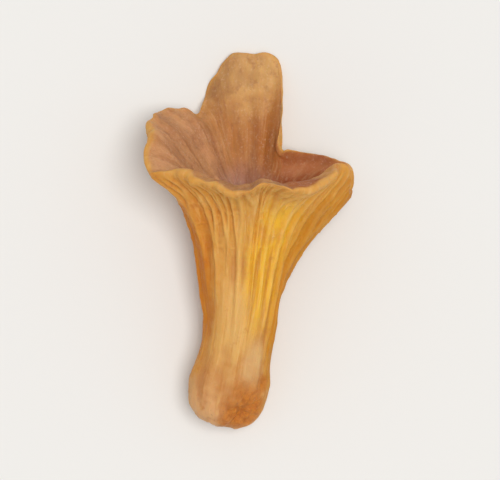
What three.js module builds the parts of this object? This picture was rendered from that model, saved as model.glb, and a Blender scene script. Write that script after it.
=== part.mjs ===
// A chanterelle mushroom, picked and lying on its side, grown as one solid piece.
//
// Millimetres. +Y runs from the foot of the stem to the cap, +X is to the right and +Z is up, out of
// the surface that the mushroom lies on. It rests on the foot and on the rim of its back lobe.
//
// The skin is one closed sheet. A point on it is given by two numbers: "around", which goes from 0
// to 1 once round the mushroom, and "along", which follows the skin from the middle of the foot, up
// the stem, out over the ridged underside of the cap, round the lip and down into the funnel.

import * as THREE from 'three';

const TURN = 2 * Math.PI;
const { degToRad } = THREE.MathUtils;

// Where each stretch of the skin ends, as values of "along".
const FOOT_END = 1;
const STEM_END = 2;
const UNDERSIDE_END = 3;
const LIP_END = 4;
const TOP_END = 5;

// The middle line, from the foot up into the funnel and on to the height of the tallest lobe. A height
// on the mushroom is measured along it.
const MIDDLE_LINE = new THREE.CubicBezierCurve3(
  new THREE.Vector3(-2.75, 0, 5.1),
  new THREE.Vector3(1.75, 15.7, 6.0),
  new THREE.Vector3(1.7, 31.45, 5.85),
  new THREE.Vector3(2.6, 46.5, 17.4),
);
const MIDDLE_LINE_HEIGHT = 50;

// The stem: a swollen foot, a slight waist, and a slow widening towards the cap. The spread is how
// far out the underside sets off from it.
const STEM_RADIUS = 4.48;
const FOOT_SWELL = 0.55;
const FOOT_SWELL_HEIGHT = 5.9;
const FOOT_SWELL_REACH = 2.6;
const FOOT_ROUNDING = 3.6;
const FOOT_BLUNTNESS = 0.87;
const WIDENING_START = 11;
const WIDENING = 0.016;
const UNDERSIDE_START = 15;
const UNDERSIDE_SPREAD = 0.7;

// How far the stem is out of round, as waves round it: how many, how deep (share of the radius),
// where they start (radians) and how they turn with height (radians per millimetre).
const STEM_WAVES = [
  { count: 2, depth: 0.035, start: -1.0, twist: -0.06 },
  { count: 3, depth: 0.022, start: 1.0, twist: 0.09 },
  { count: 5, depth: 0.012, start: 0.0, twist: -0.1 },
  { count: 9, depth: 0.014, start: 0.5, twist: 0.05 },
];

// The cap. A rim point has a reach out from the middle line, a height, and a rise: the angle at
// which the underside arrives there, measured up from straight out.
const RIM_REACH = 11.8;
const RIM_HEIGHT = 38.9;
const RIM_RISE = 32;
const CAP_THICKNESS = 1.6;
const FUNNEL_HEIGHT = 29.5;
const FUNNEL_WIDTH = 0.32 * RIM_REACH;
const FUNNEL_DISH = 0.5;
const FULLNESS = 0.42;

// The lobes and notches of the rim. Each has a direction in degrees (0 right, 90 down to the surface
// that it lies on, 180 left, 270 up), a half width in degrees and a squareness. Each adds to the
// rim's reach and height (mm) and rise (degrees), and to the spread of the underside (mm).
const LOBES = [
  { name: 'right lobe', at: 8, wide: 31, square: 2, reach: -0.8, height: -6.7, rise: 54, spread: -2.2 },
  { name: 'right brow', at: -18, wide: 9, square: 2, reach: 1.2, height: 2.5, rise: 0, spread: 0 },
  { name: 'right tip', at: 25, wide: 13, square: 2, reach: 1.4, height: 0.6, rise: 0, spread: 0 },
  { name: 'right notch', at: 58, wide: 16.5, square: 2, reach: -5.8, height: -3.8, rise: 6, spread: 0 },
  { name: 'back lobe', at: 91.5, wide: 26, square: 3, reach: 1.9, height: 5.3, rise: 30, spread: 0 },
  { name: 'back right corner', at: 79, wide: 7.5, square: 2, reach: 1.9, height: 0.1, rise: 0, spread: 0 },
  { name: 'back middle', at: 98, wide: 14, square: 2, reach: 1.0, height: -0.9, rise: 0, spread: 0 },
  { name: 'back left corner', at: 113.5, wide: 12, square: 2, reach: 0.7, height: -0.1, rise: 0, spread: 0 },
  { name: 'left notch', at: 136, wide: 9, square: 2, reach: -0.8, height: -0.7, rise: 0, spread: 0 },
  { name: 'left lobe', at: 184, wide: 43.5, square: 3, reach: 1.1, height: 2.4, rise: 20, spread: 2.2 },
  { name: 'low left corner', at: 200, wide: 20, square: 2, reach: 1.2, height: -3.3, rise: -4, spread: 0.5 },
  { name: 'front notch', at: 229, wide: 18, square: 2, reach: -1.0, height: -0.8, rise: 4, spread: 0.8 },
  { name: 'front', at: 238, wide: 40, square: 2, reach: 0.4, height: -0.5, rise: 8, spread: 0 },
  { name: 'front dip', at: 306, wide: 15, square: 2, reach: 0, height: -1.1, rise: 0, spread: 0 },
];

// Small waves of the rim: how many round it, how deep in millimetres, and where they start (radians).
const REACH_WAVES = [
  { count: 7, depth: 0.3, start: 1.0 },
  { count: 12, depth: 0.22, start: 2.5 },
  { count: 19, depth: 0.12, start: 0.6 },
];
const HEIGHT_WAVES = [
  { count: 8, depth: 0.45, start: 0.4 },
  { count: 13, depth: 0.25, start: 2.0 },
];

// Away from the rim the cap follows a softened rim: the mean of a few directions this far apart.
const SOFTENING_STEP = degToRad(14);
const SOFTENING_REACH = 2;

// The lip rolls over towards the underside, more in some places than in others.
const LIP_ROLL = 0.8;
const LIP_ROLL_REACH = 0.28;
const LIP_ROLL_WAVES = [
  { count: 3, depth: 0.5, start: 0.7 },
  { count: 5, depth: 0.3, start: 0.0 },
];

// The ridges under the cap. They run down onto the stem, and each forks in two on its way out. Height
// and half width are in millimetres, the fork's spread is a share of a ridge's place round the
// mushroom, and the rest are in steps of "along" from the start of the underside.
const RIDGE_COUNT = 24;
const RIDGE_RISE = 0.55;
const RIDGE_HALF_WIDTH = 0.5;
const RIDGE_BLUNTNESS = 0.8;
const RIDGE_FORK_SPREAD = 0.25;
const RIDGE_FORK_LENGTH = 0.34;
const RIDGE_FADE_IN = 0.45;
const RIDGE_FADE_OUT = 0.11;
const RIDGE_END = 1.05;

// Each ridge draws its own boldness, and where it starts and forks, between these.
const RIDGE_BOLDNESS = { least: 0.7, most: 1 };
const RIDGE_START = { least: -0.55, most: 0.15 };
const RIDGE_FORK = { least: 0.22, most: 0.62 };

// The ridges are unevenly spaced round the mushroom (waves in radians), and wander along it.
const SPACING_WAVES = [
  { count: 3, depth: 0.067, start: 1.3 },
  { count: 7, depth: 0.027, start: 0.2 },
  { count: 11, depth: 0.013, start: 0.0 },
];
const WANDER = 0.05;
const WANDER_TWIST = 3;

// The torn side of the foot: a wide, shallow hollow.
const DENT_DIRECTION = degToRad(316);
const DENT_ALONG = 0.76;
const DENT_DEPTH = 1.1;
const DENT_WIDTH = 2.7;
const DENT_MM_PER_RADIAN = 4.6;
const DENT_MM_PER_ALONG = 6.2;

// How it lies: two small turns that bring its low points level, and how deep they are pressed flat
// where they carry it.
const PITCH = degToRad(0.6);
const ROLL = degToRad(-0.55);
const PRESSED_FLAT = 0.35;

// Rings of points: the stretches of "along", with the rows in each and the points in a ring. Eight
// points to a ridge catch its crest, its two flanks and the fork.
const UNDERSIDE_POINTS = RIDGE_COUNT * 8;
const STEM_POINTS = UNDERSIDE_POINTS / 2;
const RINGS = [
  { from: 0.14, to: 0.3, rows: 1, points: STEM_POINTS / 4 },
  { from: 0.3, to: 0.5, rows: 1, points: STEM_POINTS / 2 },
  { from: 0.5, to: FOOT_END, rows: 3, points: STEM_POINTS },
  { from: FOOT_END, to: 1.6, rows: 4, points: STEM_POINTS },
  { from: 1.6, to: STEM_END, rows: 2, points: UNDERSIDE_POINTS },
  { from: STEM_END, to: 2.9, rows: 7, points: UNDERSIDE_POINTS },
  { from: 2.9, to: UNDERSIDE_END, rows: 1, points: UNDERSIDE_POINTS },
  { from: UNDERSIDE_END, to: LIP_END, rows: 3, points: UNDERSIDE_POINTS },
  { from: LIP_END, to: 4.6, rows: 5, points: STEM_POINTS },
  { from: 4.6, to: 4.84, rows: 2, points: STEM_POINTS / 2 },
  { from: 4.84, to: TOP_END, rows: 1, points: STEM_POINTS / 4 },
];

// How far apart the skin is sampled, in steps of "around" and "along", to find what is square to it.
const SLOPE_STEP = 0.001;

// The least radius for which a ridge's share of its place is worked out.
const LEAST_RIDGE_RADIUS = 1;

function cubic(a, b, c, d, t) {
  const s = 1 - t;
  return s * s * s * a + 3 * s * s * t * b + 3 * s * t * t * c + t * t * t * d;
}

function eased(t) {
  return THREE.MathUtils.smoothstep(t, 0, 1);
}

function waves(list, direction) {
  return list.reduce((sum, wave) => sum + wave.depth * Math.sin(wave.count * direction + wave.start), 0);
}

// A fixed, uneven number in a range, for ridge "index". "kind" tells its several draws apart.
function drawn(range, index, kind) {
  const value = Math.sin(index * 12.9898 + kind * 78.233) * 43758.5453;
  return THREE.MathUtils.lerp(range.least, range.most, value - Math.floor(value));
}

// The rim's reach, height, rise and spread with its lobes, without its small waves.
function lobedRim(direction) {
  const rim = { reach: RIM_REACH, height: RIM_HEIGHT, rise: RIM_RISE, spread: UNDERSIDE_SPREAD };
  for (const lobe of LOBES) {
    const degrees = THREE.MathUtils.radToDeg(direction);
    const off = THREE.MathUtils.euclideanModulo(degrees - lobe.at + 180, 360) - 180;
    const share = Math.exp(-(Math.abs(off / lobe.wide) ** lobe.square));
    for (const measure of Object.keys(rim)) {
      rim[measure] += lobe[measure] * share;
    }
  }
  return { ...rim, rise: degToRad(rim.rise) };
}

function softenedRim(direction) {
  const soft = { reach: 0, height: 0, rise: 0, spread: 0 };
  const taps = 2 * SOFTENING_REACH + 1;
  for (let k = -SOFTENING_REACH; k <= SOFTENING_REACH; k += 1) {
    const rim = lobedRim(direction + k * SOFTENING_STEP);
    for (const measure of Object.keys(soft)) {
      soft[measure] += rim[measure] / taps;
    }
  }
  return soft;
}

function stemRadius(direction, height) {
  const swell = FOOT_SWELL * Math.exp(-(((height - FOOT_SWELL_HEIGHT) / FOOT_SWELL_REACH) ** 2));
  const widening = WIDENING * Math.max(height - WIDENING_START, 0) ** 1.5;
  const outOfRound = STEM_WAVES.reduce(
    (sum, wave) => sum + wave.depth * Math.cos(wave.count * direction + wave.start + wave.twist * height),
    1,
  );
  return (STEM_RADIUS + swell + widening) * outOfRound;
}

// The mushroom stood upright: distance from the middle line and height, in a given direction.
function profile(direction, along) {
  if (along <= FOOT_END) {
    const angle = along * Math.PI / 2;
    const height = FOOT_ROUNDING * (1 - Math.cos(angle));
    return { radius: stemRadius(direction, height) * Math.sin(angle) ** FOOT_BLUNTNESS, height };
  }
  if (along <= STEM_END) {
    const height = THREE.MathUtils.lerp(FOOT_ROUNDING, UNDERSIDE_START, along - FOOT_END);
    return { radius: stemRadius(direction, height), height };
  }
  const soft = softenedRim(direction);
  const lobed = lobedRim(direction);
  const reach = lobed.reach + waves(REACH_WAVES, direction);
  const height = lobed.height + waves(HEIGHT_WAVES, direction);
  const depth = height - UNDERSIDE_START;
  const approach = {
    radius: soft.reach - FULLNESS * depth * Math.cos(soft.rise),
    height: soft.height - FULLNESS * depth * Math.sin(soft.rise),
  };
  // The direction in which the underside arrives at the rim, and the one square to it.
  const rise = Math.atan2(height - approach.height, reach - approach.radius);
  const out = { radius: Math.cos(rise), height: Math.sin(rise) };
  const up = { radius: -Math.sin(rise), height: Math.cos(rise) };

  let point;
  if (along <= UNDERSIDE_END) {
    const t = along - STEM_END;
    const start = stemRadius(direction, UNDERSIDE_START);
    point = {
      radius: cubic(start, start + soft.spread, approach.radius, reach, t),
      height: cubic(UNDERSIDE_START, UNDERSIDE_START + FULLNESS * depth, approach.height, height, t),
    };
  } else if (along <= LIP_END) {
    const angle = (along - UNDERSIDE_END) * Math.PI;
    const half = CAP_THICKNESS / 2;
    const across = half * (1 - Math.cos(angle));
    const beyond = half * Math.sin(angle);
    point = {
      radius: reach + across * up.radius + beyond * out.radius,
      height: height + across * up.height + beyond * out.height,
    };
  } else {
    const t = along - LIP_END;
    const length = FULLNESS * reach;
    const softTop = {
      radius: soft.reach - CAP_THICKNESS * Math.sin(soft.rise) - length * Math.cos(soft.rise),
      height: soft.height + CAP_THICKNESS * Math.cos(soft.rise) - length * Math.sin(soft.rise),
    };
    const edgeRadius = reach + CAP_THICKNESS * up.radius;
    const edgeHeight = height + CAP_THICKNESS * up.height;
    point = {
      radius: cubic(edgeRadius, softTop.radius, FUNNEL_WIDTH, 0, t),
      height: cubic(edgeHeight, softTop.height, FUNNEL_HEIGHT + FUNNEL_DISH, FUNNEL_HEIGHT, t),
    };
  }
  const awayFromLip = Math.max(UNDERSIDE_END - along, along - LIP_END, 0);
  const nearLip = Math.max(1 - awayFromLip / LIP_ROLL_REACH, 0) ** 2;
  const roll = LIP_ROLL * nearLip * (1 + waves(LIP_ROLL_WAVES, direction));
  return { radius: point.radius - roll * up.radius, height: point.height - roll * up.height };
}

// The direction in which a point stands out from the middle line.
function directionOf(around, along) {
  const turn = TURN * around;
  return turn + waves(SPACING_WAVES, turn) + WANDER * Math.sin(2 * turn + WANDER_TWIST * along);
}

// The smooth skin, bent to the middle line.
function smoothPoint(around, along) {
  const direction = directionOf(around, along);
  const { radius, height } = profile(direction, along);
  const share = height / MIDDLE_LINE_HEIGHT;
  const tangent = MIDDLE_LINE.getTangent(share);
  const right = new THREE.Vector3(1, 0, 0).projectOnPlane(tangent).normalize();
  const down = tangent.clone().cross(right);
  return MIDDLE_LINE.getPoint(share)
    .addScaledVector(right, radius * Math.cos(direction))
    .addScaledVector(down, radius * Math.sin(direction));
}

// How far a ridge stands out, from 0 to 1. It keeps its width, so it fills less of its place where
// the mushroom is wider.
function ridgeShare(around, along, radius) {
  const t = along - STEM_END;
  const place = around * RIDGE_COUNT;
  const nearest = Math.round(place);
  const ridge = THREE.MathUtils.euclideanModulo(nearest, RIDGE_COUNT);
  const boldness = drawn(RIDGE_BOLDNESS, ridge, 3);
  const start = drawn(RIDGE_START, ridge, 2);
  const fork = drawn(RIDGE_FORK, ridge, 1);
  const spread = RIDGE_FORK_SPREAD * eased((t - fork) / RIDGE_FORK_LENGTH);
  const halfWidth = RIDGE_HALF_WIDTH * RIDGE_COUNT / (TURN * radius);
  const off = Math.abs(Math.abs(place - nearest) - spread);
  const crest = eased(1 - off / halfWidth) ** RIDGE_BLUNTNESS;
  const fadeIn = eased((t - start) / RIDGE_FADE_IN);
  const fadeOut = eased((RIDGE_END - t) / RIDGE_FADE_OUT);
  return crest * fadeIn * fadeOut * boldness;
}

// How deep the torn hollow is, from 0 to 1.
function dentShare(around, along) {
  const across = DENT_MM_PER_RADIAN * (directionOf(around, along) - DENT_DIRECTION);
  const lengthwise = DENT_MM_PER_ALONG * (along - DENT_ALONG);
  return Math.exp(-(across ** 2 + lengthwise ** 2) / DENT_WIDTH ** 2);
}

// The skin with its ridges raised and its hollow sunk, square to the smooth skin.
function skinPoint(around, along) {
  const sideways = smoothPoint(around + SLOPE_STEP, along);
  sideways.sub(smoothPoint(around - SLOPE_STEP, along));
  const onward = smoothPoint(around, Math.min(along + SLOPE_STEP, TOP_END));
  onward.sub(smoothPoint(around, Math.max(along - SLOPE_STEP, 0)));
  const outward = sideways.cross(onward).normalize();
  const { radius } = profile(directionOf(around, along), along);
  const raised = RIDGE_RISE * ridgeShare(around, along, Math.max(radius, LEAST_RIDGE_RADIUS));
  const sunk = DENT_DEPTH * dentShare(around, along);
  return smoothPoint(around, along).addScaledVector(outward, raised - sunk);
}

// Triangles between two rings, which may have different numbers of points, or only one.
function joinRings(triangles, first, second) {
  const pointOf = (ring, k) => ring.start + k % ring.points;
  let i = 0;
  let j = 0;
  while (i < first.points || j < second.points) {
    const corners = [pointOf(first, i), pointOf(second, j)];
    if ((i + 1) / first.points <= (j + 1) / second.points) {
      i += 1;
      corners.splice(1, 0, pointOf(first, i));
    } else {
      j += 1;
      corners.splice(1, 0, pointOf(second, j));
    }
    if (new Set(corners).size === corners.length) {
      triangles.push(...corners);
    }
  }
}

function mushroomGeometry() {
  const vertices = [];
  const triangles = [];
  const addPoint = (around, along) => vertices.push(...skinPoint(around, along).toArray());

  addPoint(0, 0);
  let previous = { start: 0, points: 1 };
  for (const { from, to, rows, points } of RINGS) {
    for (let row = 0; row < rows; row += 1) {
      const ring = { start: vertices.length / 3, points };
      for (let k = 0; k < points; k += 1) {
        addPoint(k / points, THREE.MathUtils.lerp(from, to, row / rows));
      }
      joinRings(triangles, previous, ring);
      previous = ring;
    }
  }
  const funnelBottom = { start: vertices.length / 3, points: 1 };
  addPoint(0, TOP_END);
  joinRings(triangles, previous, funnelBottom);

  const geometry = new THREE.BufferGeometry();
  geometry.setAttribute('position', new THREE.Float32BufferAttribute(vertices, 3));
  geometry.setIndex(triangles);
  return geometry;
}

// Lays the mushroom on z = 0, centred on the origin, with its low points pressed flat.
function layDown(geometry) {
  geometry.rotateX(PITCH);
  geometry.rotateY(ROLL);
  geometry.computeBoundingBox();
  const { min, max } = geometry.boundingBox;
  geometry.translate(-(min.x + max.x) / 2, -(min.y + max.y) / 2, -min.z - PRESSED_FLAT);
  const position = geometry.attributes.position;
  for (let k = 0; k < position.count; k += 1) {
    position.setZ(k, Math.max(position.getZ(k), 0));
  }
  geometry.computeVertexNormals();
  return geometry;
}

const flesh = new THREE.MeshStandardMaterial({ color: 0xcf9d55, roughness: 0.6, metalness: 0 });
const chanterelle = new THREE.Mesh(layDown(mushroomGeometry()), flesh);
chanterelle.name = 'chanterelle';

const group = new THREE.Group();
group.add(chanterelle);
export default group;
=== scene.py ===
"""A chanterelle mushroom lying on its side on a pale floor, seen from straight above.

The mushroom is one piece, made here as a fine skin over the same form as the CAD solid and standing
for it. Lengths are millimetres while the skin is worked out, and metres in the scene. +Y runs from
the foot of the stem to the cap, and +Z is up.

A point of the skin is given by "around", from 0 to 1 once round the mushroom, and "along", from the
middle of the foot, up the stem, out over the ridged underside, round the lip and into the funnel.
"""

import math

import bpy
import numpy as np
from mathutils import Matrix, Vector


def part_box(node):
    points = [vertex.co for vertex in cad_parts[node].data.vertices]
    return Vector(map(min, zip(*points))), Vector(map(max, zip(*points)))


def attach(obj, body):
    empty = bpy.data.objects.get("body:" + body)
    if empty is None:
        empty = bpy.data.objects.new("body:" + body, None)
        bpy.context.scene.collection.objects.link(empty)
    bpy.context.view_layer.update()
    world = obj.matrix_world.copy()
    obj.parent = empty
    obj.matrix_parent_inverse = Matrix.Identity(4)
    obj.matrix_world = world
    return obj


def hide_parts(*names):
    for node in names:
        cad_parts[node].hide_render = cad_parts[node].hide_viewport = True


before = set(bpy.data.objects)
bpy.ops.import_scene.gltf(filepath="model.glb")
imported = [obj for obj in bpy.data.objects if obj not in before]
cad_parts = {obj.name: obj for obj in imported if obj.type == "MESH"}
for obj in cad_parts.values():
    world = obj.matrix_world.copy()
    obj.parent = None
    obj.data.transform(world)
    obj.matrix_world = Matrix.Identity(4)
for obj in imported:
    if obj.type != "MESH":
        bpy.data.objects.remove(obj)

NODE = "chanterelle"
MM = 0.001
TURN = 2 * math.pi
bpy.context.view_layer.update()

# ---------------------------------------------------------------- the form, as the CAD solid has it

FOOT_END, STEM_END, UNDERSIDE_END, LIP_END, TOP_END = 1, 2, 3, 4, 5

# The middle line, a cubic curve from the foot into the funnel.
MIDDLE_LINE = np.array([(-2.75, 0, 5.1), (1.75, 15.7, 6), (1.7, 31.45, 5.85), (2.6, 46.5, 17.4)])
MIDDLE_LINE_HEIGHT = 50

STEM_RADIUS = 4.48
FOOT_SWELL, FOOT_SWELL_HEIGHT, FOOT_SWELL_REACH = 0.55, 5.9, 2.6
FOOT_ROUNDING, FOOT_BLUNTNESS = 3.6, 0.87
WIDENING_START, WIDENING = 11, 0.016
UNDERSIDE_START, UNDERSIDE_SPREAD = 15, 0.7

# Waves of the stem: count round it, depth as a share of the radius, start, twist with height.
STEM_WAVES = [(2, 0.035, -1.0, -0.06), (3, 0.022, 1.0, 0.09), (5, 0.012, 0.0, -0.1), (9, 0.014, 0.5, 0.05)]

RIM_REACH, RIM_HEIGHT, RIM_RISE = 11.8, 38.9, 32
CAP_THICKNESS = 1.6
FUNNEL_HEIGHT, FUNNEL_WIDTH, FUNNEL_DISH = 29.5, 0.32 * RIM_REACH, 0.5
FULLNESS = 0.42

# The rim's lobes and notches: direction and half width (degrees), squareness, and what each adds to
# the rim's reach and height (mm), rise (degrees) and spread (mm), which is how far the underside
# goes out low down. Direction 0 is right, 90 down to the floor, 180 left, 270 up.
LOBES = {
    "right lobe": (8, 31, 2, -0.8, -6.7, 54, -2.2),
    "right lobe, brow": (-18, 9, 2, 1.2, 2.5, 0, 0),
    "right lobe, tip": (25, 13, 2, 1.4, 0.6, 0, 0),
    "right notch": (58, 16.5, 2, -5.8, -3.8, 6, 0),
    "back lobe": (91.5, 26, 3, 1.9, 5.3, 30, 0),
    "back lobe, right corner": (79, 7.5, 2, 1.9, 0.1, 0, 0),
    "back lobe, dip": (98, 14, 2, 1.0, -0.9, 0, 0),
    "back lobe, left corner": (113.5, 12, 2, 0.7, -0.1, 0, 0),
    "left notch": (136, 9, 2, -0.8, -0.7, 0, 0),
    "left lobe": (184, 43.5, 3, 1.1, 2.4, 20, 2.2),
    "left lobe, low corner": (200, 20, 2, 1.2, -3.3, -4, 0.5),
    "front notch": (229, 18, 2, -1.0, -0.8, 4, 0.8),
    "front": (238, 40, 2, 0.4, -0.5, 8, 0),
    "front dip": (306, 15, 2, 0, -1.1, 0, 0),
}

# Waves of the rim: count, depth in millimetres, start. The last two of each are too fine for the solid.
REACH_WAVES = [(7, 0.3, 1.0), (12, 0.22, 2.5), (19, 0.12, 0.6), (31, 0.07, 1.7), (47, 0.05, 0.3)]
HEIGHT_WAVES = [(8, 0.45, 0.4), (13, 0.25, 2.0), (29, 0.08, 0.9), (41, 0.05, 2.2)]

# Away from the rim the cap follows a softened rim: the mean of a few directions this far apart (degrees).
SOFTENING_STEP, SOFTENING_REACH = 14, 2

# The lip rolls over towards the underside, more in some places than in others.
LIP_ROLL, LIP_ROLL_REACH = 0.8, 0.28
LIP_ROLL_WAVES = [(3, 0.5, 0.7), (5, 0.3, 0.0)]

# The ridges of the underside, forked on their way out. Rise and half width are in millimetres, bluntness
# is a power, the fork's spread is a share of a ridge's place round the mushroom, and the rest are in steps
# of "along" from the start of the underside. Each ridge draws its own boldness (a share), start and fork
# between two limits.
RIDGE_COUNT = 24
RIDGE_RISE, RIDGE_HALF_WIDTH, RIDGE_BLUNTNESS = 0.55, 0.5, 0.8
RIDGE_FORK_SPREAD, RIDGE_FORK_LENGTH = 0.25, 0.34
RIDGE_FADE_IN, RIDGE_FADE_OUT, RIDGE_END = 0.45, 0.11, 1.05
RIDGE_BOLDNESS, RIDGE_START, RIDGE_FORK = (0.7, 1.0), (-0.55, 0.15), (0.22, 0.62)

# The ridges are unevenly spaced round the mushroom, and wander along it.
SPACING_WAVES = [(3, 0.067, 1.3), (7, 0.027, 0.2), (11, 0.013, 0.0)]
WANDER, WANDER_TWIST = 0.05, 3

# The torn side of the foot: a wide, shallow hollow.
DENT_DIRECTION, DENT_ALONG = math.radians(316), 0.76
DENT_DEPTH, DENT_WIDTH, DENT_MM_PER_RADIAN, DENT_MM_PER_ALONG = 1.1, 2.7, 4.6, 6.2

# How it lies: two small turns, and how deep its low points are pressed flat.
PITCH, ROLL, PRESSED_FLAT = math.radians(0.6), math.radians(-0.55), 0.35

# ---------------------------------------------------------------- what only the fine skin has

# The second fork of each ridge, near the rim, and how much narrower the twigs are.
TWIG_SPREAD, TWIG_LENGTH, TWIG_FORK, TWIG_NARROWING = 0.125, 0.22, (0.60, 0.84), 0.22

# Low veins that cross the valleys between the ridges, and how much of them is lost on a crest.
VEIN_RISE, VEIN_HALF_WIDTH, VEIN_LOSS = 0.2, 0.16, 0.8

# How much thinner the cap is at its lip than further in, in millimetres, and how that varies.
LIP_THINNING = 0.55
LIP_THINNING_WAVES = [(9, 0.3, 1.3), (17, 0.25, 0.2), (5, 0.2, 2.0)]

# Small nicks in the rim: direction and half width (degrees), and depth (mm).
NICKS = [(338, 2.6, 0.45), (12, 2.2, 0.4), (63, 3.0, 0.5), (112, 2.4, 0.5), (218, 2.8, 0.4), (246, 2.2, 0.35)]

# Layers of unevenness: the height of each (mm, where it raises the skin), its fineness (hills and
# hollows to a millimetre, in one number or in three), a shift and a seed.
LUMPS = [(0.20, (0.22, 0.22, 0.13), 7, 3), (0.08, 0.55, 0, 4)]
GRAIN = [(0.045, 1.9, 0, 7), (0.022, 3.7, 0, 8)]
FIBRES = [(0.10, (0.55, 0.55, 0.05), 0, 1), (0.05, (1.4, 1.4, 0.14), 0, 2)]
FOLDS = [(0.24, (0.42, 0.42, 0.07), 20, 5), (0.12, (1.0, 1.0, 0.22), 0, 6)]
LIP_FOLDS = [(0.12, (0.9, 0.9, 0.1), 0, 9), (0.06, (2.1, 2.1, 0.3), 0, 10)]
FOOT_LUMPS = [(0.16, 0.75, 3, 33), (0.07, 1.5, 0, 34)]
RIDGE_WAVER = [(0.10, (0.35, 0.35, 0.16), 0, 11)]
RIDGE_UNEVENNESS = [(0.22, (0.5, 0.5, 0.45), 0, 12)]
VEIN_LINES = [(1, (0.75, 0.75, 0.42), 40, 21)]
DENT_EDGE = [(0.45, 0.9, 0, 31)]
DENT_FLOOR = [(0.5, 1.6, 0, 32)]

# The ridges' height and the torn hollow's depth, as shares, which RIDGE_UNEVENNESS and DENT_FLOOR vary,
# and how strong the grain is outside the cap.
RIDGE_HEIGHT, DENT_FLOOR_DEPTH, GRAIN_OUTSIDE = 0.9, 1.15, 0.5

# Where relief comes in and goes out, in terms of "along": where it starts or ends, and over how much. A
# place has its middle and half width.
FIBRES_START, INSIDE_START, VEINS_START = (0.5, 0.6), (3.3, 0.5), (2.25, 0.3)
FOOT_LUMPS_END, FOLDS_END, VEINS_END = (1.25, 0.5), (TOP_END, 0.25), (UNDERSIDE_END - 0.02, 0.1)
LIP_FOLDS_PLACE = (3.4, 0.5)

# The same for what the material is told, with how much wider than the torn hollow its stain is, how
# pale the veins are beside the crests in the painted light on the ridges, and the relief from the deepest
# hollow to the highest lump, which sets the painted shade in the hollows.
INSIDE_COLOUR_START, FUNNEL_START = (3.45, 0.4), (4.35, 0.5)
FOOT_COLOUR_END, LIP_PLACE = (0.95, 0.5), (3.5, 0.35)
STAIN_SPREAD, VEIN_PALENESS, RELIEF_RANGE = 1.5, 0.4, 0.6

# Zones of colour, each an oval of the skin: direction and half width (degrees), height and half
# height (mm), and whether it is inside the cap.
ZONES = {
    "golden": (302, 38, 24, 10, False),
    "ruddy": (218, 34, 33, 6, False),
    # A pale band along the top of the stem, partly its own paler tone and partly a painted highlight where
    # the light falls.
    "pale": (262, 24, 15, 10, False),
    # Painted shade: the two flanks, darker and more orange towards the sides of the stem and cap.
    "shaded_left_flank": (180, 48, 21, 16, False),
    "shaded_right_flank": (-2, 42, 21, 18, False),
    "pale_patch": (305, 20, 9.5, 3.5, False),
    "tan": (100, 38, 45, 6, True),
    # Painted shade on the right side of the back lobe and in the notch beside it.
    "dark": (58, 42, 38, 6, True),
    "left_inside": (176, 52, 36, 8, True),
    "red": (14, 48, 35, 6.5, True),
    "low_left": (170, 22, 34.5, 4, True),
    # Painted shade on the back lobe's right margin.
    "painted_shade_margin": (65, 12, 41, 7, True),
    # The far rim: the red of the inside, with painted shade.
    "red_and_shaded_far_rim": (44, 14, 36, 1.5, True),
    "pink_fold": (42, 13, 34.2, 0.9, True),
    "red_near_rim": (304, 15, 38.5, 2.5, True),
    "golden_tip": (332, 13, 38, 4, True),
}

# For each stretch of the skin, its rows, and its points in a row for each ridge.
STRETCHES = ((16, 14), (40, 16), (88, 24), (10, 24), (44, 16))

# What runs lengthwise follows the skin as if it were a plain tube: the distance along it at the start
# and at each stretch's end, and its radius (mm).
SKIN_LENGTH = (0, 6.7, 18.3, 46, 48.5, 66)
FLOW_RADIUS = 7

# The step in "around" and "along" over which the skin's slope is taken, and the least slope that is
# divided by, because it has none at its two end points.
SLOPE_STEP, LEAST_SLOPE = 0.001, 1e-12


def cubic(a, b, c, d, t):
    s = 1 - t
    return s**3 * a + 3 * s**2 * t * b + 3 * s * t**2 * c + t**3 * d


def eased(t):
    """From 0 to 1 as t goes there, slowly at both ends."""
    t = np.clip(t, 0, 1)
    return t * t * (3 - 2 * t)


def starting(along, start, over):
    """From 0 to 1 past the start."""
    return eased((along - start) / over)


def ending(along, end, over):
    """From 1 to 0 at the end."""
    return eased((end - along) / over)


def bell(value, middle, half_width):
    """1 at the middle, and falling off to both sides."""
    return np.exp(-(((value - middle) / half_width) ** 2))


def degrees_from(direction, at):
    return np.mod(np.degrees(direction) - at + 180, 360) - 180


def waves(table, direction):
    return sum(depth * np.sin(count * direction + start) for count, depth, start in table)


def drawn(limits, index, kind):
    """A fixed, uneven number between two limits, for ridge "index". "kind" tells its draws apart."""
    share = np.mod(np.sin(index * 12.9898 + kind * 78.233) * 43758.5453, 1)
    return limits[0] + (limits[1] - limits[0]) * share


def lattice(cell, seed):
    """A fixed, uneven number from -1 to 1 for each whole-number cell."""
    x, y, z = (cell[..., k].astype(np.int64) for k in range(3))
    h = (x * 73856093) ^ (y * 19349663) ^ (z * 83492791) ^ (seed * 2654435761)
    h = (h ^ (h >> 13)) * 1274126177
    h = (h ^ (h >> 16)) & 0xFFFF
    return h / 32767.5 - 1


def noise(points, seed):
    """Smooth uneven numbers from -1 to 1 in space, one hill or hollow to a unit."""
    cell = np.floor(points)
    t = points - cell
    t = t * t * t * (t * (t * 6 - 15) + 10)
    total = 0
    for corner in np.ndindex(2, 2, 2):
        weight = np.prod(np.where(np.array(corner) == 1, t, 1 - t), axis=-1)
        total = total + weight * lattice(cell + corner, seed)
    return total


def layered(layers, points):
    return sum(height * noise(points * fineness + shift, seed) for height, fineness, shift, seed in layers)


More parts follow.
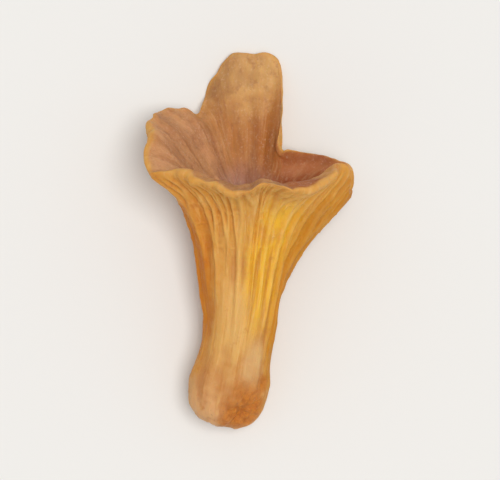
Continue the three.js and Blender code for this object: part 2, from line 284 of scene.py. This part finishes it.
def lobed_rim(direction):
    """The rim's reach, height, rise and spread with its lobes, without its small waves."""
    rim = [value + 0 * direction for value in (RIM_REACH, RIM_HEIGHT, RIM_RISE, UNDERSIDE_SPREAD)]
    for at, wide, square, *added in LOBES.values():
        share = np.exp(-np.abs(degrees_from(direction, at) / wide) ** square)
        rim = [value + more * share for value, more in zip(rim, added)]
    reach, height, rise, spread = rim
    return np.array([reach, height, np.radians(rise), spread])


def softened_rim(direction):
    steps = np.radians(SOFTENING_STEP) * np.arange(-SOFTENING_REACH, SOFTENING_REACH + 1)
    return sum(lobed_rim(direction + step) for step in steps) / len(steps)


def stem_radius(direction, height):
    swell = FOOT_SWELL * np.exp(-(((height - FOOT_SWELL_HEIGHT) / FOOT_SWELL_REACH) ** 2))
    widening = WIDENING * np.maximum(height - WIDENING_START, 0) ** 1.5
    out_of_round = 1
    for count, depth, start, twist in STEM_WAVES:
        out_of_round = out_of_round + depth * np.cos(count * direction + start + twist * height)
    return (STEM_RADIUS + swell + widening) * out_of_round


def foot_profile(direction, along):
    angle = np.clip(along, 0, 1) * math.pi / 2
    height = FOOT_ROUNDING * (1 - np.cos(angle))
    return stem_radius(direction, height) * np.sin(angle) ** FOOT_BLUNTNESS, height


def stem_profile(direction, along):
    share = np.clip(along - FOOT_END, 0, 1)
    height = FOOT_ROUNDING + (UNDERSIDE_START - FOOT_ROUNDING) * share
    return stem_radius(direction, height), height


def cap_profile(direction, along):
    """The underside, the lip and the top, which goes down into the funnel."""
    soft_reach, soft_height, soft_rise, spread = softened_rim(direction)
    reach, height, *_ = lobed_rim(direction)
    reach = reach + waves(REACH_WAVES, direction)
    for at, wide, deep in NICKS:
        reach = reach - deep * bell(degrees_from(direction, at), 0, wide)
    height = height + waves(HEIGHT_WAVES, direction)
    depth = height - UNDERSIDE_START
    near_radius = soft_reach - FULLNESS * depth * np.cos(soft_rise)
    near_height = soft_height - FULLNESS * depth * np.sin(soft_rise)
    rise = np.arctan2(height - near_height, reach - near_radius)
    out, up = (np.cos(rise), np.sin(rise)), (-np.sin(rise), np.cos(rise))

    t = np.clip(along - STEM_END, 0, 1)
    start = stem_radius(direction, UNDERSIDE_START)
    underside = (
        cubic(start, start + spread, near_radius, reach, t),
        cubic(UNDERSIDE_START, UNDERSIDE_START + FULLNESS * depth, near_height, height, t),
    )
    angle = np.clip(along - UNDERSIDE_END, 0, 1) * math.pi
    across = CAP_THICKNESS / 2 * (1 - np.cos(angle))
    beyond = CAP_THICKNESS / 2 * np.sin(angle)
    lip = (reach + across * up[0] + beyond * out[0], height + across * up[1] + beyond * out[1])

    t = np.clip(along - LIP_END, 0, 1)
    length = FULLNESS * reach
    top_radius = soft_reach - CAP_THICKNESS * np.sin(soft_rise) - length * np.cos(soft_rise)
    top_height = soft_height + CAP_THICKNESS * np.cos(soft_rise) - length * np.sin(soft_rise)
    top = (
        cubic(reach + CAP_THICKNESS * up[0], top_radius, FUNNEL_WIDTH, 0, t),
        cubic(height + CAP_THICKNESS * up[1], top_height, FUNNEL_HEIGHT + FUNNEL_DISH, FUNNEL_HEIGHT, t),
    )
    on_underside, on_lip = along <= UNDERSIDE_END, along <= LIP_END
    away = np.maximum(np.maximum(UNDERSIDE_END - along, along - LIP_END), 0)
    near_lip = np.maximum(1 - away / LIP_ROLL_REACH, 0) ** 2
    roll = LIP_ROLL * near_lip * (1 + waves(LIP_ROLL_WAVES, direction))
    to_the_top = (1 - np.cos(angle)) / 2
    roll = roll + LIP_THINNING * near_lip * to_the_top * (1 + waves(LIP_THINNING_WAVES, direction))
    return tuple(
        np.where(on_underside, underside[k], np.where(on_lip, lip[k], top[k])) - roll * up[k] for k in (0, 1)
    )


def profile(direction, along):
    """The mushroom stood upright: distance from the middle line, and height."""
    foot, stem, cap = (f(direction, along) for f in (foot_profile, stem_profile, cap_profile))
    on_foot, on_stem = along <= FOOT_END, along <= STEM_END
    return tuple(np.where(on_foot, foot[k], np.where(on_stem, stem[k], cap[k])) for k in (0, 1))


def direction_of(around, along):
    turn = TURN * around
    return turn + waves(SPACING_WAVES, turn) + WANDER * np.sin(2 * turn + WANDER_TWIST * along)


def smooth_points(around, along):
    """The smooth skin, bent to the middle line."""
    direction = direction_of(around, along)
    radius, height = profile(direction, along)
    t = (height / MIDDLE_LINE_HEIGHT)[..., None]
    a, b, c, d = MIDDLE_LINE
    tangent = (1 - t) ** 2 * (b - a) + 2 * (1 - t) * t * (c - b) + t**2 * (d - c)
    tangent /= np.linalg.norm(tangent, axis=-1, keepdims=True)
    right = np.array([1.0, 0, 0]) - tangent[..., :1] * tangent
    right /= np.linalg.norm(right, axis=-1, keepdims=True)
    down = np.cross(tangent, right)
    out = (radius * np.cos(direction))[..., None] * right + (radius * np.sin(direction))[..., None] * down
    return cubic(a, b, c, d, t) + out


def ridge_crests(around, along, radius, flow):
    """How far the ridges stand out, from 0 to about 1, with twigs near the rim and a wandering crest."""
    t = along - STEM_END
    place = around * RIDGE_COUNT + layered(RIDGE_WAVER, flow)
    nearest = np.round(place)
    off = place - nearest
    ridge = np.mod(nearest, RIDGE_COUNT)
    spread = RIDGE_FORK_SPREAD * eased((t - drawn(RIDGE_FORK, ridge, 1)) / RIDGE_FORK_LENGTH)
    crest = np.zeros_like(off)
    for side in (1, -1):
        fork = drawn(TWIG_FORK, ridge, 5 + side)
        opened = eased((t - fork) / TWIG_LENGTH)
        half_width = RIDGE_HALF_WIDTH * (1 - TWIG_NARROWING * opened) * RIDGE_COUNT / (TURN * radius)
        for twig in (1, -1):
            from_crest = np.abs(off - side * spread - twig * TWIG_SPREAD * opened)
            crest = np.maximum(crest, eased(1 - from_crest / half_width) ** RIDGE_BLUNTNESS)
    fade_in = eased((t - drawn(RIDGE_START, ridge, 2)) / RIDGE_FADE_IN)
    fade_out = eased((RIDGE_END - t) / RIDGE_FADE_OUT)
    rise = RIDGE_HEIGHT + layered(RIDGE_UNEVENNESS, flow)
    return crest * rise * fade_in * fade_out * drawn(RIDGE_BOLDNESS, ridge, 3)


def cross_veins(along, crest, flow):
    """Low veins that join the ridges, slanting across the valleys between them."""
    vein = eased(1 - np.abs(layered(VEIN_LINES, flow)) / VEIN_HALF_WIDTH)
    where = starting(along, *VEINS_START) * ending(along, *VEINS_END)
    return vein * (1 - VEIN_LOSS * crest) * where


def hollow(around, along, upright, spread=1):
    """The torn hollow on the foot, from 0 to 1, with a ragged edge."""
    across = DENT_MM_PER_RADIAN * (direction_of(around, along) - DENT_DIRECTION)
    lengthwise = DENT_MM_PER_ALONG * (along - DENT_ALONG)
    away = (across**2 + lengthwise**2) / (DENT_WIDTH * spread) ** 2
    return np.exp(-away * (1 + layered(DENT_EDGE, upright)))


def relief_of(along, flow, upright, crest, veins, dent):
    """How far the fine skin stands out from the smooth one, in millimetres."""
    inside = starting(along, *INSIDE_START)
    outside = starting(along, *FIBRES_START) * (1 - inside)
    foot = ending(along, *FOOT_LUMPS_END)
    ridges = RIDGE_RISE * crest + VEIN_RISE * veins
    fibres = outside * layered(FIBRES, flow)
    folds = inside * ending(along, *FOLDS_END) * layered(FOLDS, flow)
    grain = layered(GRAIN, upright) * (GRAIN_OUTSIDE + (1 - GRAIN_OUTSIDE) * inside + foot)
    foot_lumps = foot * layered(FOOT_LUMPS, upright)
    lip_folds = bell(along, *LIP_FOLDS_PLACE) * layered(LIP_FOLDS, flow)
    torn = DENT_DEPTH * dent * (DENT_FLOOR_DEPTH + layered(DENT_FLOOR, upright))
    return ridges + fibres + layered(LUMPS, upright) + folds + grain + foot_lumps + lip_folds - torn


def skin(around, along):
    """The skin's points, and what its material is told about each of them."""
    direction = direction_of(around, along)
    radius, height = profile(direction, along)
    length = np.interp(along, range(len(SKIN_LENGTH)), SKIN_LENGTH)
    flow = np.stack([FLOW_RADIUS * np.cos(direction), FLOW_RADIUS * np.sin(direction), length], -1)
    upright = np.stack([radius * np.cos(direction), radius * np.sin(direction), height], -1)
    crest = ridge_crests(around, along, np.maximum(radius, 1), flow)
    veins = cross_veins(along, crest, flow)
    dent = hollow(around, along, upright)
    relief = relief_of(along, flow, upright, crest, veins, dent)

    sideways = smooth_points(around + SLOPE_STEP, along) - smooth_points(around - SLOPE_STEP, along)
    onward = smooth_points(around, np.minimum(along + SLOPE_STEP, TOP_END))
    onward = onward - smooth_points(around, np.maximum(along - SLOPE_STEP, 0))
    outward = np.cross(sideways, onward)
    outward /= np.maximum(np.linalg.norm(outward, axis=-1, keepdims=True), LEAST_SLOPE)
    points = smooth_points(around, along) + relief[..., None] * outward

    top = starting(along, *INSIDE_COLOUR_START)
    facts = {
        # The crests and veins are painted lighter: painted light on the raised ridges.
        "crest": np.clip(crest + VEIN_PALENESS * veins, 0, 1),
        "top": top,
        "lip": bell(along, *LIP_PLACE),
        "height": np.clip(height / RIM_HEIGHT, 0, 1),
        "stain": hollow(around, along, upright, STAIN_SPREAD),
        # Painted shade: how low the relief is, to darken the hollows.
        "hollows": np.clip(0.5 - relief / RELIEF_RANGE, 0, 1),
        "funnel": starting(along, *FUNNEL_START),
        "foot_end": ending(along, *FOOT_COLOUR_END),
    }
    for name, (at, wide, level, tall, inside) in ZONES.items():
        oval = bell(degrees_from(direction, at), 0, wide) * bell(height, level, tall)
        facts[name] = oval * (top if inside else 1 - top)
    return points, facts, flow, upright


def lay_down(points):
    """Turns the mushroom as it lies, puts it where the CAD solid is, and presses its low points flat."""
    x, y, z = points.T
    y, z = y * math.cos(PITCH) - z * math.sin(PITCH), y * math.sin(PITCH) + z * math.cos(PITCH)
    x, z = x * math.cos(ROLL) + z * math.sin(ROLL), z * math.cos(ROLL) - x * math.sin(ROLL)
    low, high = (np.array(corner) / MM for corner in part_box(NODE))
    x = x - (x.min() + x.max()) / 2 + (low[0] + high[0]) / 2
    y = y - (y.min() + y.max()) / 2 + (low[1] + high[1]) / 2
    z = np.maximum(z - z.min() + low[2] - PRESSED_FLAT, low[2])
    return np.stack([x, y, z], -1)


def join_rings(first, second):
    """Faces between two rings, each given by its first point and its number of points."""
    (a, m), (b, n) = first, second
    if m == n:
        return [(a + k, a + (k + 1) % m, b + (k + 1) % m, b + k) for k in range(m)]
    faces, i, j = [], 0, 0
    while i < m or j < n:
        if (i + 1) * n <= (j + 1) * m:
            face = (a + i % m, a + (i + 1) % m, b + j % n)
            i += 1
        else:
            face = (a + i % m, b + (j + 1) % n, b + j % n)
            j += 1
        if len(set(face)) == 3:
            faces.append(face)
    return faces


def make_mushroom():
    around, along, rings = [np.zeros(1)], [np.zeros(1)], [(0, 1)]
    for stretch, (rows, points_to_a_ridge) in enumerate(STRETCHES):
        points = RIDGE_COUNT * points_to_a_ridge
        for row in range(1 if stretch == 0 else 0, rows):
            rings.append((sum(len(ring) for ring in around), points))
            around.append(np.arange(points) / points)
            along.append(np.full(points, stretch + row / rows))
    rings.append((sum(len(ring) for ring in around), 1))
    around.append(np.zeros(1))
    along.append(np.full(1, float(TOP_END)))
    points, facts, flow, upright = skin(np.concatenate(around), np.concatenate(along))
    faces = [face for pair in zip(rings, rings[1:]) for face in join_rings(*pair)]

    mesh = bpy.data.meshes.new(NODE + "_skin")
    mesh.from_pydata((lay_down(points) * MM).tolist(), [], faces)
    mesh.polygons.foreach_set("use_smooth", [True] * len(mesh.polygons))
    for name, values in facts.items():
        mesh.attributes.new(name, "FLOAT", "POINT").data.foreach_set("value", values.astype(np.float32))
    for name, values in (("flow", flow), ("upright", upright)):
        data = mesh.attributes.new(name, "FLOAT_VECTOR", "POINT").data
        data.foreach_set("vector", values.astype(np.float32).ravel())
    mesh.update()
    piece = bpy.data.objects.new(NODE + "_skin", mesh)
    bpy.context.scene.collection.objects.link(piece)
    return piece


# ---------------------------------------------------------------- materials

# How far into its oval a zone of colour starts, and how rough the flesh is where it is smoothest and
# roughest.
ZONE_EDGE = 0.15
ROUGHNESS = (0.46, 0.7)

# How light goes through the flesh: how much of it, and how far, as shares for red, green and blue of a reach
# in metres.
LIGHT_INSIDE, LIGHT_INSIDE_COLOURS, LIGHT_INSIDE_REACH = 0.3, (1.0, 0.45, 0.18), 0.0007


def srgb(red, green, blue):
    """A colour given as it shows on a screen, 0 to 255, in the linear numbers that shaders take."""
    shown = np.array([red, green, blue]) / 255
    linear = np.where(shown <= 0.04045, shown / 12.92, ((shown + 0.055) / 1.055) ** 2.4)
    return (*[float(c) for c in linear], 1)


class Nodes:
    """Short ways to add shader nodes to one material."""

    def __init__(self, name):
        self.material = bpy.data.materials.new(name)
        self.material.use_nodes = True
        self.tree = self.material.node_tree
        self.shader = self.tree.nodes["Principled BSDF"]

    def put(self, value, socket):
        if isinstance(value, bpy.types.NodeSocket):
            self.tree.links.new(value, socket)
        else:
            socket.default_value = value

    def add(self, kind, **settings):
        node = self.tree.nodes.new(kind)
        for name, value in settings.items():
            setattr(node, name, value)
        return node

    def fact(self, name, output="Fac"):
        return self.add("ShaderNodeAttribute", attribute_name=name).outputs[output]

    def math(self, operation, *values):
        node = self.add("ShaderNodeMath", operation=operation)
        for value, socket in zip(values, node.inputs):
            self.put(value, socket)
        return node.outputs[0]

    def stretched(self, vector, scale, offset=(0, 0, 0)):
        node = self.add("ShaderNodeMapping")
        self.put(vector, node.inputs["Vector"])
        node.inputs["Scale"].default_value = scale
        node.inputs["Location"].default_value = offset
        return node.outputs[0]

    def noise(self, vector, scale=1, detail=4, roughness=0.6):
        node = self.add("ShaderNodeTexNoise")
        self.put(vector, node.inputs["Vector"])
        node.inputs["Scale"].default_value = scale
        node.inputs["Detail"].default_value = detail
        node.inputs["Roughness"].default_value = roughness
        return node.outputs["Fac"]

    def step(self, value, start, end, low=0.0, high=1.0):
        """Rises smoothly from low to high as value goes from start to end."""
        node = self.add("ShaderNodeMapRange", interpolation_type="SMOOTHSTEP")
        for entry, socket in zip((value, start, end, low, high), node.inputs):
            self.put(entry, socket)
        return node.outputs[0]

    def mix(self, share, first, second, blend="MIX"):
        node = self.add("ShaderNodeMix", data_type="RGBA", blend_type=blend)
        self.put(share, node.inputs[0])
        self.put(first, node.inputs[6])
        self.put(second, node.inputs[7])
        return node.outputs[2]

    def bump(self, height, strength, distance, normal=None):
        node = self.add("ShaderNodeBump")
        self.put(height, node.inputs["Height"])
        node.inputs["Strength"].default_value = strength
        node.inputs["Distance"].default_value = distance
        if normal is not None:
            self.put(normal, node.inputs["Normal"])
        return node.outputs[0]


class Flesh(Nodes):
    """The mushroom's own material: uneven patterns on its skin, and the colours laid over one another, among
    them painted light and shade.
    """

    def __init__(self, name):
        super().__init__(name)
        flow, upright = self.fact("flow", "Vector"), self.fact("upright", "Vector")
        self.streaks = self.noise(self.stretched(flow, (0.8, 0.8, 0.08)))
        self.threads = self.noise(self.stretched(flow, (2.6, 2.6, 0.22), (5, 0, 0)), detail=3)
        self.patches = self.noise(self.stretched(upright, (0.17, 0.17, 0.12)))
        self.blots = self.noise(self.stretched(upright, (0.5, 0.5, 0.4), (3, 9, 0)), roughness=0.65)
        self.mottle = self.noise(upright, scale=1.1, roughness=0.65)
        self.specks = self.noise(upright, scale=3.2, detail=3)
        self.crest = self.fact("crest")
        self.hollows = self.fact("hollows")
        self.height = self.fact("height")
        self.top = self.fact("top")

    def over(self, colour, pattern, start, full, strength, shade, where=None):
        """Lays a shade over a colour where a pattern rises from its start to where it is full."""
        share = self.step(pattern, start, full, 0, strength)
        if where is not None:
            share = self.math("MULTIPLY", share, where)
        return self.mix(share, colour, srgb(*shade))

    def zone(self, name, strength, ragged=0.5, full=0.75):
        """The share of a zone of the skin, its edge broken up by the blots."""
        edge = self.math("MULTIPLY_ADD", self.math("SUBTRACT", self.blots, 0.5), ragged * 2, self.fact(name))
        return self.step(edge, ZONE_EDGE, full, 0, strength)

    def in_zone(self, colour, name, strength, shade, ragged=0.5, blend="MIX"):
        return self.mix(self.zone(name, strength, ragged), colour, srgb(*shade), blend)

    def outside(self):
        """Tan at the foot, ochre above, a pale band that is partly a painted highlight, a golden streak, a
        redder flank, sides painted darker as shade, painted light on the crests and painted shade in the
        hollows.
        """
        up_the_stem = self.step(self.fact("foot_end"), 0, 1, 1, 0.1)
        colour = self.over(srgb(214, 162, 110), self.height, 0.02, 0.30, 1, (212, 158, 84))
        colour = self.over(colour, self.height, 0.35, 0.95, 1, (214, 156, 72))
        # The flanks' deeper orange, partly their own colour and partly painted shade.
        colour = self.in_zone(colour, "shaded_left_flank", 0.9, (208, 138, 40))
        colour = self.in_zone(colour, "shaded_right_flank", 0.8, (216, 156, 48))
        # Pale band on the top of the stem: partly its own tone, partly a painted highlight.
        colour = self.in_zone(colour, "pale", 0.5, (226, 180, 108))
        colour = self.in_zone(colour, "golden", 0.85, (236, 182, 38), 0.3)
        colour = self.in_zone(colour, "ruddy", 0.7, (206, 138, 52))
        colour = self.over(colour, self.patches, 0.5, 0.68, 0.6, (206, 140, 66))
        colour = self.over(colour, self.streaks, 0.52, 0.66, 0.55, (196, 132, 58), up_the_stem)
        colour = self.over(colour, self.threads, 0.5, 0.72, 0.4, (234, 194, 128), up_the_stem)
        colour = self.over(colour, self.blots, 0.58, 0.72, 0.45, (188, 118, 56))
        # Painted light: the crests of the ridges and veins made paler.
        colour = self.over(colour, self.crest, 0.2, 1.0, 0.4, (232, 188, 108))
        # Painted shade in the hollows between the ridges.
        colour = self.over(colour, self.hollows, 0.48, 0.85, 0.5, (176, 100, 38))
        # Painted shade: the flanks darkened towards the sides.
        colour = self.in_zone(colour, "shaded_left_flank", 1, (240, 210, 132), 0.2, "MULTIPLY")
        return self.in_zone(colour, "shaded_right_flank", 1, (230, 210, 156), 0.2, "MULTIPLY")

    def inside(self):
        """Brown with a pinkish cast, tan on the back lobe, red on the right, violet low down, and painted
        shade by the back lobe's right side and in the hollows.
        """
        colour = self.over(srgb(192, 132, 74), self.patches, 0.38, 0.62, 1, (182, 120, 62))
        colour = self.in_zone(colour, "left_inside", 0.85, (200, 145, 102), 0.35)
        # Painted shade by the back lobe's right side.
        colour = self.in_zone(colour, "dark", 0.85, (170, 104, 46), 0.35)
        colour = self.in_zone(colour, "tan", 0.9, (216, 168, 104), 0.35)
        colour = self.in_zone(colour, "red", 0.9, (162, 80, 38))
        colour = self.over(colour, self.fact("funnel"), 0.02, 0.7, 0.9, (200, 150, 132))
        colour = self.in_zone(colour, "low_left", 0.75, (222, 166, 112), 0.25)
        colour = self.over(colour, self.streaks, 0.5, 0.68, 0.6, (154, 94, 50))
        colour = self.over(colour, self.threads, 0.48, 0.7, 0.35, (208, 160, 112))
        colour = self.over(colour, self.mottle, 0.5, 0.7, 0.45, (164, 106, 74))
        # Painted shade in the hollows of the folds.
        return self.over(colour, self.hollows, 0.5, 0.9, 0.45, (130, 76, 46))

    def marks(self, colour):
        """What goes over both: the pale lip, the places near the rim, with painted shade on the back lobe's
        margin and along the far rim, and the torn side of the foot.
        """
        pale_lip = self.math("MULTIPLY", self.fact("lip"), self.step(self.blots, 0.3, 0.62, 0.75, 0.15))
        colour = self.mix(pale_lip, colour, srgb(210, 158, 88))
        # Painted shade on the back lobe's right margin.
        colour = self.in_zone(colour, "painted_shade_margin", 0.6, (150, 96, 54), 0.35)
        # Red along the far rim, partly its own colour and partly painted shade.
        colour = self.in_zone(colour, "red_and_shaded_far_rim", 0.6, (150, 80, 38), 0.25)
        colour = self.in_zone(colour, "red_near_rim", 0.8, (162, 84, 34), 0.25)
        colour = self.in_zone(colour, "golden_tip", 0.7, (216, 156, 84), 0.25)
        colour = self.in_zone(colour, "pink_fold", 0.4, (206, 136, 88), 0.6)
        colour = self.in_zone(colour, "pale_patch", 0.6, (216, 176, 122))
        torn = self.over(srgb(200, 122, 38), self.mottle, 0.4, 0.6, 1, (174, 100, 32))
        return self.mix(self.zone("stain", 0.85, ragged=0.25, full=0.85), colour, torn)

    def dust_and_soil(self, colour):
        """Fine pale dust, most of it inside the cap, and a few dark crumbs of soil at the foot."""
        patchy = self.step(self.blots, 0.35, 0.65, 0.08, 0.3)
        dust = self.math("MULTIPLY", self.step(self.specks, 0.5, 0.75), patchy)
        dust = self.math("MULTIPLY", dust, self.step(self.top, 0, 1, 0.25, 1))
        colour = self.mix(dust, colour, srgb(226, 196, 166))
        low_down = self.step(self.height, 0.2, 0.02, 0, 0.6)
        soil = self.math("MULTIPLY", self.step(self.specks, 0.36, 0.28), low_down)
        return self.mix(soil, colour, srgb(110, 72, 44))

    def fine_relief(self):
        """Threads and pits that are too fine for the skin's own points, with distances in metres."""
        normal = self.bump(self.threads, strength=0.5, distance=0.0003)
        normal = self.bump(self.mottle, strength=0.35, distance=0.00025, normal=normal)
        return self.bump(self.specks, strength=0.35, distance=0.00012, normal=normal)


def flesh_material():
    flesh = Flesh("flesh")
    colour = flesh.mix(flesh.top, flesh.outside(), flesh.inside())
    sockets = flesh.shader.inputs
    flesh.put(flesh.dust_and_soil(flesh.marks(colour)), sockets["Base Color"])
    flesh.put(flesh.step(flesh.mottle, 0.3, 0.7, *ROUGHNESS), sockets["Roughness"])
    flesh.put(flesh.fine_relief(), sockets["Normal"])
    sockets["Subsurface Weight"].default_value = LIGHT_INSIDE
    sockets["Subsurface Radius"].default_value = LIGHT_INSIDE_COLOURS
    sockets["Subsurface Scale"].default_value = LIGHT_INSIDE_REACH
    sockets["Specular IOR Level"].default_value = 0.2
    return flesh.material


def floor_material():
    floor = Nodes("floor")
    sockets = floor.shader.inputs
    sockets["Base Color"].default_value = srgb(231, 230, 228)
    sockets["Roughness"].default_value = 0.9
    sockets["Specular IOR Level"].default_value = 0.1
    return floor.material


# ---------------------------------------------------------------- the stage

FLOOR_HALF_WIDTH = 60

# How bright the studio is overhead and at the horizon, where it is as bright as the lit floor, and how
# high the horizon's brightness reaches (1 is overhead).
OVERHEAD, HORIZON, HORIZON_BAND = 0.50, 0.84, 0.22
STUDIO_COLOUR = (1.0, 0.995, 0.985, 1)

KEY_FROM, KEY_STRENGTH, KEY_SOFTNESS = (0.16, 0.02, 0.98), 1.9, math.radians(28)
KEY_COLOUR = (1.0, 0.985, 0.96)

# The picture's width over its height, the mushroom's length in it, and a long lens (millimetres).
PICTURE_SHAPE = 500 / 480
SHARE_OF_PICTURE = 0.80
LENS, SENSOR = 250, 36


def make_floor():
    mesh = bpy.data.meshes.new("floor")
    far = FLOOR_HALF_WIDTH
    corners = [(-far, -far, 0), (far, -far, 0), (far, far, 0), (-far, far, 0)]
    mesh.from_pydata(corners, [], [(0, 1, 2, 3)])
    floor = bpy.data.objects.new("floor", mesh)
    floor.data.materials.append(floor_material())
    bpy.context.scene.collection.objects.link(floor)


def make_key_light():
    light = bpy.data.lights.new("key", "SUN")
    light.energy = KEY_STRENGTH
    light.angle = KEY_SOFTNESS
    light.color = KEY_COLOUR
    holder = bpy.data.objects.new("key", light)
    holder.rotation_euler = Vector(KEY_FROM).to_track_quat("Z", "Y").to_euler()
    bpy.context.scene.collection.objects.link(holder)


def make_studio():
    world = bpy.data.worlds.new("studio")
    world.use_nodes = True
    nodes, links = world.node_tree.nodes, world.node_tree.links
    background = nodes["Background"]
    direction = nodes.new("ShaderNodeTexCoord").outputs["Generated"]
    split = nodes.new("ShaderNodeSeparateXYZ")
    links.new(direction, split.inputs[0])
    brightness = nodes.new("ShaderNodeMapRange")
    brightness.interpolation_type = "SMOOTHSTEP"
    links.new(split.outputs["Z"], brightness.inputs[0])
    for value, socket in zip((0, HORIZON_BAND, HORIZON, OVERHEAD), list(brightness.inputs)[1:5]):
        socket.default_value = value
    links.new(brightness.outputs[0], background.inputs["Strength"])
    background.inputs["Color"].default_value = STUDIO_COLOUR
    bpy.context.scene.world = world


def make_camera(low, high):
    """Straight above the mushroom, its foot at the bottom of the picture."""
    picture_width = (high[1] - low[1]) / SHARE_OF_PICTURE * PICTURE_SHAPE
    camera = bpy.data.cameras.new("camera")
    camera.lens = LENS
    camera.sensor_width = SENSOR
    camera.clip_start = 0.01
    holder = bpy.data.objects.new("camera", camera)
    distance = picture_width * LENS / SENSOR
    holder.location = ((low[0] + high[0]) / 2, (low[1] + high[1]) / 2, distance + high[2] / 2)
    bpy.context.scene.collection.objects.link(holder)
    bpy.context.scene.camera = holder


low, high = (Vector(corner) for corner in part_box(NODE))
make_camera(low, high)
mushroom = make_mushroom()
mushroom.data.materials.append(flesh_material())
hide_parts(NODE)
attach(mushroom, "root")
make_floor()
make_key_light()
make_studio()
bpy.context.scene.view_settings.view_transform = "Standard"
